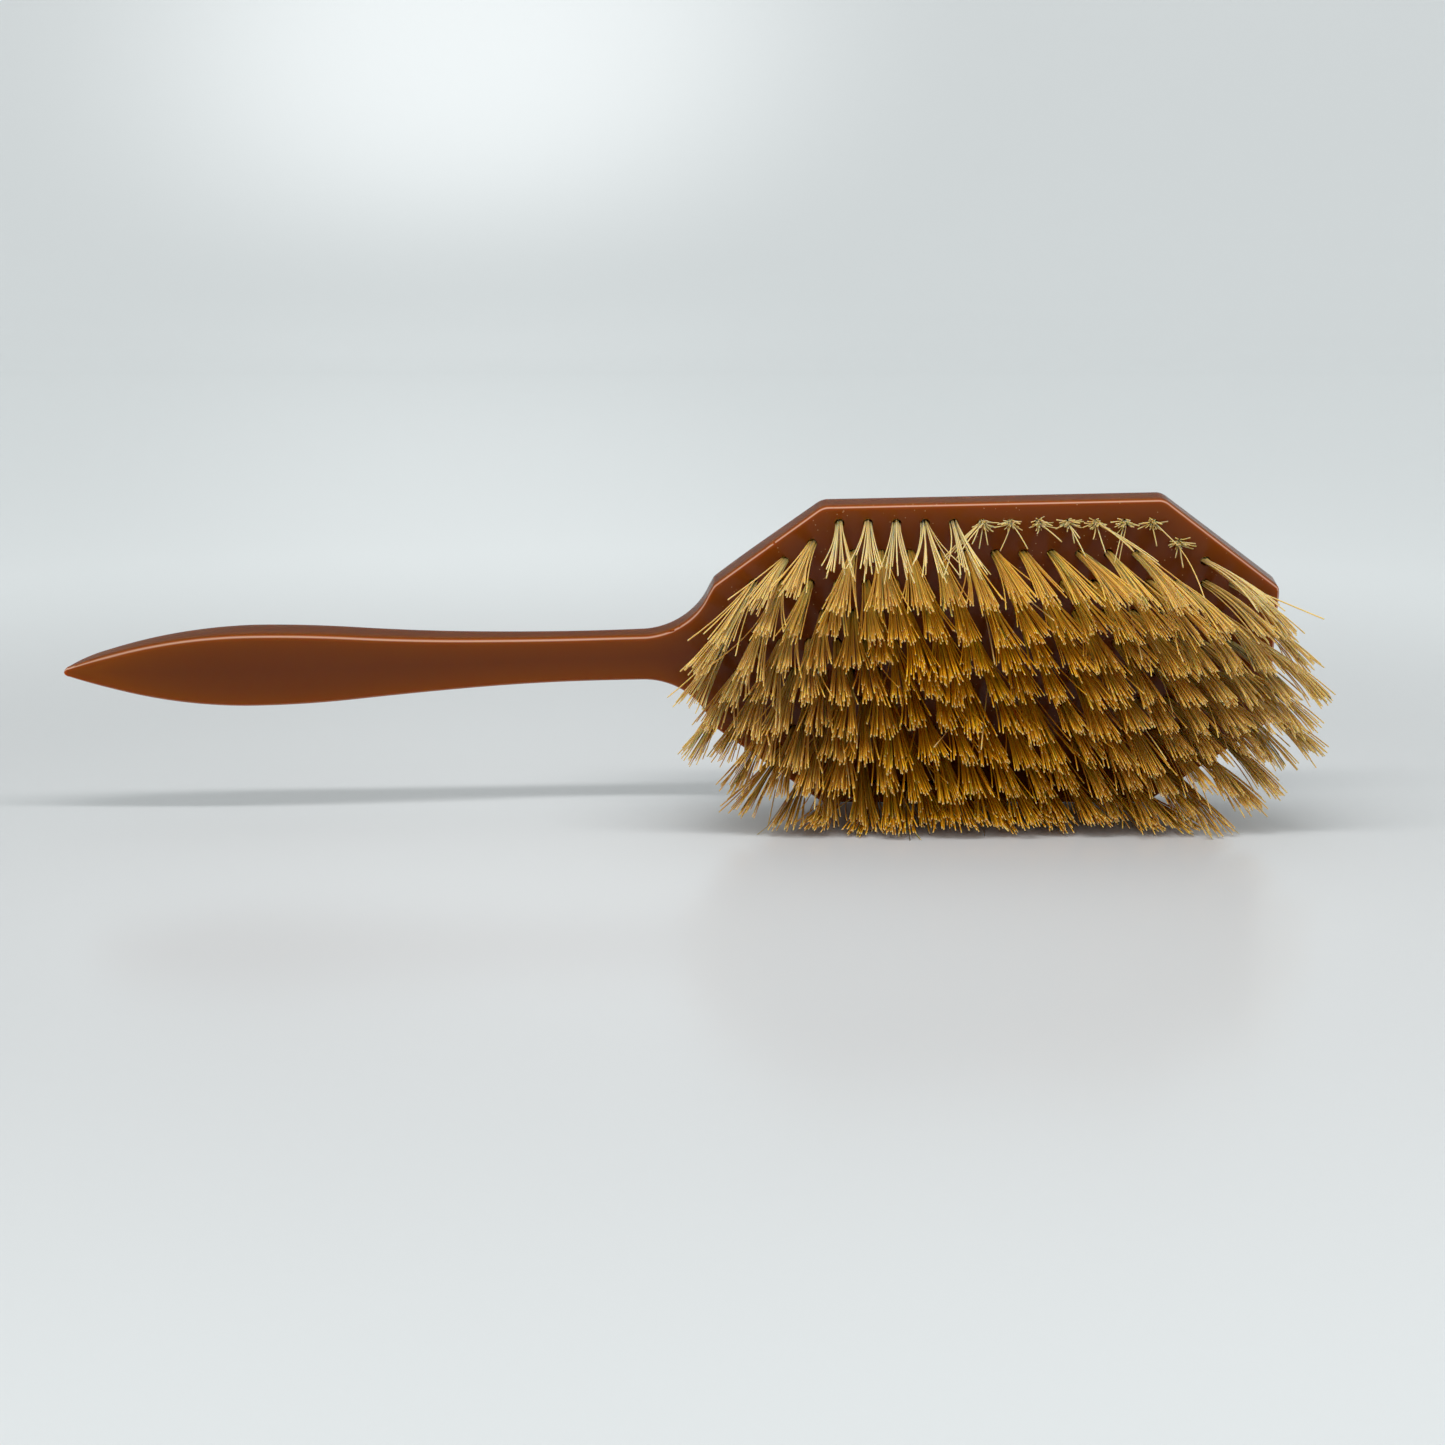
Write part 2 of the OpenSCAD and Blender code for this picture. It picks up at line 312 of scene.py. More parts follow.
def section(flat, x, inset=0.0):
    """One closed ring of points round the brush at x, drawn in by inset."""
    s = flat.s
    up, low = (flat.half_width(x, side) - inset for side in (1, -1))
    face = flat.face(x) - inset
    slant = [math.hypot(1.0, flat.side_slope(x, side)) for side in (1, -1)]
    # The edges are rounder on the handle, and finer where the handle narrows to its tip.
    thin = min(1.0, min(up, low) / (4 * MM))
    front = s.edge_round * ease(x, -30 * MM, 5 * MM, 1.35, 1.0) * (0.25 + 0.75 * thin)
    rear = s.back_round * (0.25 + 0.75 * thin)
    depth = face - (flat.back(x, low) + inset)
    front, rear = min(front, 0.4 * depth), min(rear, 0.45 * depth)
    steps, back_loops = 5, 14

    def across(half, slant):
        """Distances from the axis of the face's loops on one side."""
        room = half - front * slant
        marks = [room - d * MM for d in FACE_INSETS if room - d * MM > 0.06 * half]
        extra = len(FACE_INSETS) - len(marks)
        lowest = marks[-1] if marks else room
        return marks + [lowest * (1 - (i + 1) / (extra + 1)) for i in range(extra)]

    def corner(half, edge_z, radius, wide, sign):
        """Points of a rounded edge, from the flat onto the rim."""
        return [(half - wide + wide * math.sin(a), edge_z - sign * radius * (1 - math.cos(a)))
                for a in (math.pi / 2 * i / steps for i in range(steps + 1))]

    side_marks = [face - front - share * (depth - front - rear) for share in (0.3, 0.7)]
    ring = [(y, face) for y in reversed(across(up, slant[0]))]
    ring += corner(up, face, front, front * slant[0], 1)
    ring += [(up, z) for z in side_marks]
    back_up = flat.back(x, up) + inset
    ring += reversed(corner(up, back_up, rear, rear * slant[0], -1))
    top, bottom = up - rear * slant[0], low - rear * slant[1]
    for i in range(1, back_loops):
        y = top + (-bottom - top) * i / back_loops
        ring.append((y, flat.back(x, y) + inset))
    back_low = flat.back(x, low) + inset
    ring += [(-y, z) for y, z in corner(low, back_low, rear, rear * slant[1], -1)]
    ring += [(-low, z) for z in reversed(side_marks)]
    ring += [(-y, z) for y, z in reversed(corner(low, face, front, front * slant[1], 1))]
    ring += [(-y, face) for y in across(low, slant[1])]
    ring.append((0.0, face))
    return [(x, y, z) for y, z in ring]


def shell_mesh(flat):
    """The whole body as one closed shell, without its holes."""
    s = flat.s
    rings = [section(flat, x) for x in stations(flat)]
    turns = 5
    for i in range(1, turns + 1):
        a = i * math.pi / 2 / turns
        rings.append(section(flat, s.head_length - s.edge_round * (1 - math.sin(a)),
                             s.edge_round * (1 - math.cos(a))))
    mesh = bmesh.new()
    loops = [[mesh.verts.new(p) for p in ring] for ring in rings]
    count = len(loops[0])
    for one, two in zip(loops, loops[1:]):
        for i in range(count):
            j = (i + 1) % count
            mesh.faces.new((one[i], one[j], two[j], two[i]))
    nose = mesh.verts.new((flat.tip, 0.0, flat.face(flat.tip) - flat.TIP_THICKNESS * 0.1))
    for i in range(count):
        mesh.faces.new((loops[0][(i + 1) % count], loops[0][i], nose))
    mesh.faces.new(loops[-1])
    bmesh.ops.recalc_face_normals(mesh, faces=mesh.faces)
    return mesh


# ---------------------------------------------------------------- tufts

def tuft_layout(flat, settings):
    """Tufts row by row from the upper edge, as (x, y, lean along the head) in the flat drawing."""
    short_half, long_half, growth = 31.9 * MM, 54.9 * MM, 9.7 * MM    # half lengths of the rows
    middle_row = (ROW_COUNT + 1) / 2
    rows = []
    for row in range(1, ROW_COUNT + 1):
        half = min(long_half, short_half + growth * (middle_row - 1 - abs(middle_row - row)))
        shift = (row % 2) * settings.tuft_pitch / 2
        corners = CORNER_TUFTS if row in (2, ROW_COUNT - 1) else ()
        if corners:
            half = corners[0][0] - 0.8 * settings.tuft_pitch
        steps = int((half - shift) / settings.tuft_pitch + 1e-6)
        y = (middle_row - row) * settings.row_pitch
        spots = {(round(side * (shift + i * settings.tuft_pitch), 7), y)
                 for side in (-1, 1) for i in range(steps + 1)}
        spots |= {(side * x, y + math.copysign(1.0, y) * out)
                  for side in (-1, 1) for x, out in corners}
        row_of_tufts = []
        for index, (x, y) in enumerate(sorted(spots)):
            far = x >= 0.0
            x += flat.middle
            rank = len(spots) - 1 - index if far else index
            own = math.radians((x - settings.upright) * settings.fan)
            end = settings.far_fan if far else settings.near_fan
            share = END_SHARE[rank] if rank < len(END_SHARE) else 0.0
            # The top row and the upper rows at the far end keep closer to their own lean.
            loose = 0.15 if row == 1 else 0.3 if far and row < 8 else 1.0
            row_of_tufts.append((x, y, own + (end - own) * share * loose))
        rows.append(row_of_tufts)
    return rows


def tuft_aim(fan, row, y, flat, settings):
    """Direction of a tuft in the laid-down brush: forwards, fanned along it and drooping,
    but no further than until its tip rests on the surface."""
    above = (flat.half + y) * math.cos(flat.s.lean) - TIP_RADIUS
    droop = min(settings.top_droop + settings.row_droop * (row - 1),
                math.asin(min(1.0, above / settings.reach)))
    return Vector((math.sin(fan), -math.cos(fan) * math.cos(droop),
                   -math.cos(fan) * math.sin(droop))).normalized()


def tuft_points(row, roots, flat, settings, turn, rng):
    """What each tuft of a row looks like: place, aim, bend, reach, splay, bristles and tint."""
    points = []

    def add(place, aim, reach, bend=(0, 0, 0), splay=settings.splay, hairs=settings.hairs,
            ragged=0.05, lit_straw=0.0, spread=0.9):
        points.append(dict(place=place, aim=Vector(aim).normalized(), reach=reach,
                           bend=Vector(bend), splay=splay, hairs=hairs, ragged=ragged,
                           lit_straw=lit_straw, spread=spread))

    for index, (x, y, fan) in enumerate(roots):
        place = turn @ Vector((x, y, flat.face(x)))
        aim = tuft_aim(fan, row, y, flat, settings)
        # How near the tuft is to the far end, the handle's end and the top row.
        right = max(0.0, min(1.0, (x - 52 * MM) / (55 * MM)))
        left = max(0.0, min(1.0, (40 * MM - x) / (38 * MM)))
        outer = max(0.0, (4 - row) / 3)
        # Painted light: the top rows and the ends get paler straw, as if lit through.
        lit_straw = min(1.0, 0.6 * outer ** 2.2 + 0.7 * right ** 2.2 + 0.75 * left ** 1.4)
        reach = settings.reach * rng.uniform(0.92, 1.02)
        bend = Vector((-1.6 * right ** 1.5, 0, -(0.4 + 3.2 * right ** 1.5))) * MM
        bend += Vector((rng.uniform(-0.5, 0.5), 0, rng.uniform(-0.5, 0.4))) * MM
        aim = (aim * settings.reach - bend).normalized()
        aim = (aim + Vector((rng.uniform(-1, 1), 0, rng.uniform(-1, 1))) * 0.055).normalized()
        stub_or_highlight = (row == 1 and index >= WORN_FROM) or (row == 2 and index == len(roots) - 2)
        if not stub_or_highlight:
            sparse = row == 1 or (row == 2 and index == len(roots) - 1)
            add(place, aim, reach, bend, hairs=int(settings.hairs * (0.44 if sparse else 1)),
                splay=settings.splay * (1.5 if sparse else rng.uniform(0.85, 1.25)),
                lit_straw=1.0 if sparse else lit_straw, ragged=0.1 if sparse else 0.08)
            continue
        # The stub, a few single bristles left in it, and on some stubs a thin long tuft.
        add(place + Vector((0, -0.6, 0)) * MM, (0.1, -1, -0.25), 2 * MM, hairs=32,
            splay=math.radians(44), ragged=0.35, lit_straw=1.0, spread=1.0)
        for _ in range(rng.choice((1, 2, 2, 3))):
            side = rng.uniform(-0.35, 0.6)
            add(place, (side, -0.75, -rng.uniform(0.3, 0.8)), rng.uniform(4, 11) * MM,
                bend=(0, 0, -0.6 * MM), hairs=1, lit_straw=1.0, spread=0.5)
        if index in LONG_STRAYS:
            lean = -0.55 if index == WORN_FROM else 0.6
            add(place, (lean, -1, -0.2), 19 * MM, bend=(0, 0, -2 * MM), hairs=4,
                splay=math.radians(5), lit_straw=1.0, ragged=0.25)
    # A few loose bristles that stick out of the row.
    for _ in range(4):
        x, y, fan = rng.choice(roots)
        if row == 1 and x > roots[WORN_FROM][0] - MM:
            continue
        aim = tuft_aim(fan, row, y, flat, settings)
        aim = aim + Vector((rng.uniform(-0.35, 0.35), 0, rng.uniform(-0.3, 0.25)))
        add(turn @ Vector((x, y, flat.face(x))), aim, settings.reach * rng.uniform(0.85, 1.12),
            bend=(0, 0, -rng.uniform(0, 3) * MM), hairs=1, lit_straw=0.7)
    return points


def points_object(name, points):
    """A mesh of one vertex for each tuft, with its values as attributes."""
    mesh = bpy.data.meshes.new(name)
    mesh.from_pydata([p["place"] for p in points], [], [])
    for key, kind in (("aim", "FLOAT_VECTOR"), ("bend", "FLOAT_VECTOR"), ("reach", "FLOAT"),
                      ("splay", "FLOAT"), ("ragged", "FLOAT"), ("lit_straw", "FLOAT"),
                      ("spread", "FLOAT"), ("hairs", "INT")):
        layer = mesh.attributes.new(key, kind, "POINT")
        for item, point in zip(layer.data, points):
            if kind == "FLOAT_VECTOR":
                item.vector = point[key]
            else:
                item.value = point[key]
    obj = bpy.data.objects.new(name, mesh)
    bpy.context.scene.collection.objects.link(obj)
    return obj


# ---------------------------------------------------------------- node helpers

class Tree:
    """Adds nodes to a node tree and joins them up."""

    def __init__(self, tree):
        self.tree = tree

    def node(self, kind, inputs=None, **settings):
        node = self.tree.nodes.new(kind)
        for key, value in settings.items():
            setattr(node, key, value)
        for key, value in (inputs or {}).items():
            self.feed(node.inputs[key], value)
        return node

    def feed(self, socket, value):
        if isinstance(value, bpy.types.NodeSocket):
            self.tree.links.new(value, socket)
        elif isinstance(value, bpy.types.Node):
            self.tree.links.new(value.outputs[0], socket)
        else:
            socket.default_value = value

    def math(self, operation, a, b=0.0, c=None):
        inputs = {0: a, 1: b}
        if c is not None:
            inputs[2] = c
        return self.node("ShaderNodeMath", inputs, operation=operation).outputs[0]

    def vector(self, operation, a, b=None, scale=None):
        inputs = {0: a}
        if b is not None:
            inputs[1] = b
        if scale is not None:
            inputs["Scale"] = scale
        node = self.node("ShaderNodeVectorMath", inputs, operation=operation)
        return node.outputs["Value" if operation in ("LENGTH", "DOT_PRODUCT") else "Vector"]

    def product(self, *factors):
        """Several numbers multiplied."""
        total = factors[0]
        for item in factors[1:]:
            total = self.math("MULTIPLY", total, item)
        return total

    def painted(self, name):
        """An attribute of the mesh, for a material."""
        return self.node("ShaderNodeAttribute", attribute_name=name).outputs["Fac"]

    def noise(self, where, scale, detail):
        return self.node("ShaderNodeTexNoise", {"Vector": where, "Scale": scale,
                                                "Detail": detail}).outputs[0]

    def value_of(self, name, kind="FLOAT"):
        """A named attribute of the geometry."""
        node = self.node("GeometryNodeInputNamedAttribute", {"Name": name}, data_type=kind)
        return node.outputs["Attribute"]

    def store(self, geometry, name, value, kind="FLOAT", domain="POINT"):
        node = self.node("GeometryNodeStoreNamedAttribute",
                         {"Geometry": geometry, "Name": name, "Value": value},
                         data_type=kind, domain=domain)
        return node.outputs[0]

    def chance(self, low, high, seed):
        """A random number for each element, from a fixed seed."""
        node = self.node("FunctionNodeRandomValue", data_type="FLOAT")
        for socket in node.inputs:
            if socket.type == "VALUE" and socket.enabled:
                if socket.name == "Min":
                    self.feed(socket, low)
                elif socket.name == "Max":
                    self.feed(socket, high)
            elif socket.name == "Seed":
                self.feed(socket, seed)
        return next(o for o in node.outputs if o.enabled)


def bristle_tree(material):
    """Turns tuft points into bristles: splayed, bent, cut to length and pressed on the floor."""
    group = bpy.data.node_groups.new("bristle_row", "GeometryNodeTree")
    face = group.interface
    face.new_socket("Geometry", in_out="INPUT", socket_type="NodeSocketGeometry")
    for name, kind, default in (("Thickness", "NodeSocketFloat", 0.27 * MM),
                                ("Hole radius", "NodeSocketFloat", 1.0 * MM),
                                ("Floor", "NodeSocketFloat", 0.0),
                                ("Seed", "NodeSocketInt", 0)):
        face.new_socket(name, in_out="INPUT", socket_type=kind).default_value = default
    face.new_socket("Geometry", in_out="OUTPUT", socket_type="NodeSocketGeometry")
    t = Tree(group)
    given = t.node("NodeGroupInput").outputs
    seed = given["Seed"]

    def seeded(step):
        return t.math("ADD", seed, float(step))

    copies = t.node("GeometryNodeDuplicateElements",
                    {"Geometry": given["Geometry"], "Amount": t.value_of("hairs", "INT")},
                    domain="POINT").outputs[0]
    # Where the bristle leaves the hole: evenly over a disc across the tuft's aim.
    turn = t.chance(0.0, math.tau, seeded(1))
    out = t.math("POWER", t.chance(0.0, 1.0, seeded(2)), 0.7)
    aim = t.value_of("aim", "FLOAT_VECTOR")
    side = t.vector("NORMALIZE", t.vector("CROSS_PRODUCT", aim, (0.0, 0.0, 1.0)))
    up = t.vector("CROSS_PRODUCT", side, aim)
    cosine, sine = t.math("COSINE", turn), t.math("SINE", turn)

    def oval(across, tall):
        """A direction round the tuft, drawn wide along the head and flat across it."""
        return t.vector("ADD", t.vector("SCALE", side, scale=t.product(cosine, across)),
                        t.vector("SCALE", up, scale=t.product(sine, tall)))

    copies = t.store(copies, "spoke", oval(1.0, 0.8), "FLOAT_VECTOR")
    copies = t.store(copies, "out", out)
    # A few bristles of each tuft splay much more than the others.
    wild = t.math("POWER", t.chance(0.0, 1.0, seeded(3)), 14.0)
    lean = t.product(t.value_of("splay"),
                     t.math("ADD", t.product(out, t.chance(0.55, 1.25, seeded(4))),
                            t.product(wild, 1.6)))
    lean = t.math("MINIMUM", lean, math.radians(55))
    # The doubled tuft opens sideways, along the head, much more than up and down.
    opened = t.vector("SCALE", oval(1.3, 0.45), scale=t.math("TANGENT", lean))
    heading = t.vector("NORMALIZE", t.vector(
        "ADD", aim, t.vector("SCALE", opened, scale=FLARE_AT_ROOT)))
    flare = t.vector("SCALE", opened, scale=t.product(t.value_of("reach"), FLARE_IN_BEND))
    copies = t.store(copies, "flare", flare, "FLOAT_VECTOR")
    copies = t.store(copies, "heading", heading, "FLOAT_VECTOR")
    cut_off = t.math("POWER", t.chance(0.0, 1.6, seeded(5)), 2.0)
    kept = t.math("SUBTRACT", 1.0, t.product(t.value_of("ragged"), cut_off))
    copies = t.store(copies, "long", t.product(t.value_of("reach"), kept))
    copies = t.store(copies, "tone", t.chance(0.0, 1.0, seeded(6)))
    shaken = t.node("FunctionNodeRandomValue", {0: (-1.0, -1.0, -1.0), 1: (1.0, 1.0, 1.0)},
                    data_type="FLOAT_VECTOR")
    for socket in shaken.inputs:
        if socket.name == "Seed":
            t.feed(socket, seeded(7))
    copies = t.store(copies, "kink", shaken.outputs[0], "FLOAT_VECTOR")
    start = t.vector("SCALE", t.value_of("spoke", "FLOAT_VECTOR"), scale=t.product(
        t.value_of("out"), given["Hole radius"], t.value_of("spread")))
    sunk = t.vector("SCALE", t.value_of("heading", "FLOAT_VECTOR"), scale=-0.9 * MM)
    copies = t.node("GeometryNodeSetPosition",
                    {"Geometry": copies, "Offset": t.vector("ADD", start, sunk)}).outputs[0]
    # One bristle: a four-sided rod along Z, one unit long.
    rod = t.node("GeometryNodeMeshCylinder", {
        "Vertices": 4, "Side Segments": 6, "Radius": t.product(given["Thickness"], 0.5),
        "Depth": 1.0}).outputs["Mesh"]
    rod = t.node("GeometryNodeTransform", {"Geometry": rod, "Translation": (0, 0, 0.5)}).outputs[0]
    height = t.node("ShaderNodeSeparateXYZ", {0: t.node("GeometryNodeInputPosition")}).outputs["Z"]
    rod = t.store(rod, "along", height)
    facing = t.node("FunctionNodeAlignRotationToVector",
                    {"Vector": t.value_of("heading", "FLOAT_VECTOR")}, axis="Z")
    size = t.node("ShaderNodeCombineXYZ", {"X": 1.0, "Y": 1.0, "Z": t.value_of("long")})
    rods = t.node("GeometryNodeInstanceOnPoints", {
        "Points": copies, "Instance": rod, "Rotation": facing, "Scale": size}).outputs[0]
    mesh = t.node("GeometryNodeRealizeInstances", {"Geometry": rods}).outputs[0]
    # Bend each bristle towards its tip, then press what would go under the floor onto it.
    along = t.value_of("along")
    squared = t.product(along, along)
    sway = t.product(t.math("SINE", t.product(along, math.pi)), 0.22 * MM)
    kink = t.value_of("kink", "FLOAT_VECTOR")
    flared = t.vector("ADD", t.value_of("bend", "FLOAT_VECTOR"),
                      t.value_of("flare", "FLOAT_VECTOR"))
    bend = t.vector("ADD", t.vector("SCALE", flared, scale=squared),
                    t.vector("SCALE", kink, scale=sway))
    bend = t.vector("ADD", bend, t.vector("SCALE", kink, scale=t.product(squared, 0.3 * MM)))
    mesh = t.node("GeometryNodeSetPosition", {"Geometry": mesh, "Offset": bend}).outputs[0]
    place = t.node("ShaderNodeSeparateXYZ", {0: t.node("GeometryNodeInputPosition")}).outputs["Z"]
    lowest = t.math("ADD", given["Floor"], 0.02 * MM)
    soft = 1.2 * MM
    # Below the soft height the bristle flattens out along the floor without reaching it.
    under = t.math("SUBTRACT", place, lowest)
    pressed = t.product(soft, t.math("EXPONENT", t.math(
        "DIVIDE", t.math("SUBTRACT", t.math("MINIMUM", under, soft), soft), soft)))
    lift = t.math("SUBTRACT", t.math("MAXIMUM", under, pressed), under)
    lifted = t.node("ShaderNodeCombineXYZ", {"X": 0.0, "Y": 0.0, "Z": lift})
    mesh = t.node("GeometryNodeSetPosition", {"Geometry": mesh, "Offset": lifted}).outputs[0]
    mesh = t.node("GeometryNodeSetShadeSmooth",
                  {"Geometry": mesh, "Shade Smooth": True}).outputs[0]
    mesh = t.node("GeometryNodeSetMaterial", {"Geometry": mesh, "Material": material}).outputs[0]
    t.node("NodeGroupOutput", {"Geometry": mesh})
    return group


def baked(obj, group, values, name):
    """Runs a geometry tree on obj and returns its result as a plain mesh object."""
    modifier = obj.modifiers.new("build", "NODES")
    modifier.node_group = group
    sockets = {item.name: item.identifier for item in group.interface.items_tree
               if item.item_type == "SOCKET" and item.in_out == "INPUT"}
    for key, value in values.items():
        modifier[sockets[key]] = value
    evaluated = obj.evaluated_get(bpy.context.evaluated_depsgraph_get())
    mesh = bpy.data.meshes.new_from_object(evaluated)
    old = obj.data
    obj.modifiers.clear()
    bpy.data.objects.remove(obj)
    bpy.data.meshes.remove(old)
    mesh.name = name
    result = bpy.data.objects.new(name, mesh)
    bpy.context.scene.collection.objects.link(result)
    if not mesh.polygons:
        raise RuntimeError(f"{name} came out empty")
    return result


# ---------------------------------------------------------------- materials

def material(name):
    """A new material: its tree and its Principled shader."""
    made = bpy.data.materials.new(name)
    made.use_nodes = True
    shader = made.node_tree.nodes["Principled BSDF"]
    return made, Tree(made.node_tree), shader


def fill(t, shader, sockets):
    """Sets or joins up each named socket of a shader."""
    for name, value in sockets.items():
        t.feed(shader.inputs[name], value)


def mixed(t, amount, a, b):
    """One colour or texture blended into another."""
    node = t.node("ShaderNodeMix", data_type="RGBA", blend_type="MIX")
    values = {"Factor": amount, "A": a, "B": b}
    for socket in node.inputs:
        if socket.enabled and socket.name in values:
            value = values[socket.name]
            t.feed(socket, (*value, 1.0) if isinstance(value, tuple) else value)
    return next(o for o in node.outputs if o.enabled)


def shade(colour, share):
    """A colour made lighter or darker by a share of itself."""
    return tuple(min(1.0, c * share) for c in colour)


def amber_material(s):
    """Polished translucent amber moulding with faint clouding and dust, a painted glow at its thin
    edges, a painted highlight along the face's edge and painted shade on the rim and back."""
    made, t, shader = material("amber_moulding")
    where = t.node("ShaderNodeTexCoord").outputs["Object"]
    stretched = t.node("ShaderNodeMapping", {"Vector": where, "Scale": (18.0, 60.0, 60.0)})
    cloud = t.noise(stretched, 1.0, 3.0)
    base = mixed(t, cloud, shade(s.amber, 0.86), shade(s.amber, 1.16))
    base = mixed(t, t.painted("glow"), base, tuple(s.glow))
    rim, ridge_highlight = t.painted("rim"), t.painted("ridge_highlight")
    # Painted shade: the rim and back are darkened towards near black.
    base = mixed(t, t.product(rim, 0.55), base, (0.03, 0.008, 0.002))
    # Painted highlight: a pale pink line along the rounded edge of the face.
    base = mixed(t, t.product(ridge_highlight, 0.8), base, (0.62, 0.4, 0.3))
    # Dust: pale specks on the face of the head, in patches.
    speck = t.node("ShaderNodeTexVoronoi", {"Vector": where, "Scale": 900.0}).outputs["Distance"]
    speck = t.math("LESS_THAN", speck, 0.12)
    patchy = t.math("GREATER_THAN", t.noise(where, 160.0, 2.0), 0.5)
    dust = t.product(speck, patchy, t.painted("dusty"))
    base = mixed(t, t.product(dust, 0.8), base, (0.4, 0.22, 0.1))
    bump = t.node("ShaderNodeBump", {"Strength": 0.12, "Distance": 0.02 * MM,
                                     "Height": t.noise(where, 260.0, 3.0)})
    smear = t.noise(where, 90.0, 4.0)
    fill(t, shader, {
        "Base Color": base,
        "Roughness": t.math("MULTIPLY_ADD", smear, 0.14, s.gloss - 0.07),
        "IOR": t.math("MULTIPLY_ADD", rim, -0.2, 1.42),
        "Specular IOR Level": 0.14,
        "Coat Weight": 0.06,
        "Coat Roughness": 0.04,
        "Subsurface Weight": t.math("SUBTRACT", 1.0, t.math("MAXIMUM", ridge_highlight, dust)),
        "Subsurface Radius": (1.0, 0.4, 0.12),
        "Subsurface Scale": 4.0 * MM,
        "Normal": bump,
    })
    return made


def bristle_material(s):
    """Natural bristle: golden inside the brush, the outer tufts painted paler straw as if lit
    through, with pale cut ends and painted shade at the roots.
    """
    made, t, shader = material("golden_bristle")
    along, tone = t.painted("along"), t.painted("tone")
    gold = mixed(t, tone, shade(s.gold, 0.72), shade(s.gold, 1.25))
    pale = mixed(t, tone, shade(s.lit_straw, 0.8), shade(s.lit_straw, 1.2))
    # Painted light: paler straw where the tufts are outer and lit, golden where they are inside.
    base = mixed(t, t.painted("lit_straw"), gold, pale)
    # Painted shade: the bristles darken towards their roots, where they enter the face.
    root = t.math("SUBTRACT", 1.0, t.math("MINIMUM", t.product(along, 2.2), 1.0))
    base = mixed(t, t.product(root, 0.2), base, (0.2, 0.085, 0.012))
    tip = t.math("GREATER_THAN", along, 0.985)
    fill(t, shader, {
        "Base Color": mixed(t, t.product(tip, 0.7), base, tuple(s.cut)),
        "Roughness": 0.36,
        "IOR": 1.38,
        "Specular IOR Level": 0.22,
        "Subsurface Weight": 0.9,
        "Subsurface Radius": (1.0, 0.6, 0.2),
        "Subsurface Scale": 0.8 * MM,
    })
    return made


def anchor_material():
    """Dull brass strip."""
    made, t, shader = material("dull_brass")
    blot = t.noise(t.node("ShaderNodeTexCoord").outputs["Object"], 900.0, 3.0)
    fill(t, shader, {
        "Base Color": mixed(t, blot, (0.42, 0.3, 0.12), (0.66, 0.5, 0.24)),
        "Roughness": t.math("MULTIPLY_ADD", blot, 0.3, 0.3),
        "Metallic": 1.0,
    })
    return made


def paper_material(s):
    """Smooth pale card for the floor and backdrop, painted darker round the brush as shade."""
    made, t, shader = material("pale_card")
    where = t.node("ShaderNodeTexCoord").outputs["Object"]
    distance = t.vector("LENGTH", t.vector("MULTIPLY", where, (0.7, 1.0, 1.0)))
    # Painted shade: darker card round the brush, easing out to the backdrop colour.
    painted_shade_fade = t.node("ShaderNodeMapRange", {"Value": distance, "From Min": 0.11, "From Max": 0.32},
                   interpolation_type="SMOOTHSTEP").outputs[0]
    fill(t, shader, {
        "Base Color": mixed(t, painted_shade_fade, tuple(s.near), tuple(s.far)),
        "Roughness": 0.22,
        "Specular IOR Level": 0.5,
    })
    return made


# ---------------------------------------------------------------- pieces

def new_object(name, mesh, *materials):
    """Links a bmesh as an object with its place in its mesh, and frees the bmesh."""
    data = bpy.data.meshes.new(name)
    mesh.to_mesh(data)
    mesh.free()
    for item in materials:
        data.materials.append(item)
    obj = bpy.data.objects.new(name, data)
    bpy.context.scene.collection.objects.link(obj)
    return obj


def hole_cutters(flat, settings, turn):
    """All the tuft holes as one mesh of separate rods."""
    mesh = bmesh.new()
    radius, sides = settings.hole / 2, 16
    for roots in tuft_layout(flat, settings):
        for x, y, _ in roots:
            top = flat.face(x) + MM
            bottom = -settings.hole_depth
            bmesh.ops.create_cone(
                mesh, cap_ends=True, segments=sides, radius1=radius, radius2=radius,
                depth=top - bottom, matrix=Matrix.Translation((x, y, (top + bottom) / 2)))
    bmesh.ops.transform(mesh, matrix=turn, verts=mesh.verts)
    return new_object("hole_cutters", mesh)


def chip_cutters(flat, turn, rng):
    """Small rough lumps that bite chips out of the face's edge."""
    mesh = bmesh.new()
    for x, size in CHIPS:
        place = Vector((x, flat.half_width(x, 1) + 0.05 * MM, flat.face(x) - 0.05 * MM))
        lump = bmesh.ops.create_icosphere(mesh, subdivisions=2, radius=size)
        for v in lump["verts"]:
            v.co *= rng.uniform(0.8, 1.15)
            v.co.x *= 1.7
            v.co += place
    bmesh.ops.transform(mesh, matrix=turn, verts=mesh.verts)
    return new_object("chip_cutters", mesh)


def cut_away(target, cutter):
    """Cuts one object out of another and removes the cutter."""
    modifier = target.modifiers.new("cut", "BOOLEAN")
    modifier.operation = "DIFFERENCE"
    modifier.solver = "MANIFOLD"
    modifier.object = cutter
    evaluated = target.evaluated_get(bpy.context.evaluated_depsgraph_get())
    mesh = bpy.data.meshes.new_from_object(evaluated)
    target.modifiers.clear()
    old = target.data
    target.data = mesh
    bpy.data.meshes.remove(old)
    data = cutter.data
    bpy.data.objects.remove(cutter)
    bpy.data.meshes.remove(data)
    if not mesh.polygons:
        raise RuntimeError(f"cutting {target.name} left nothing")


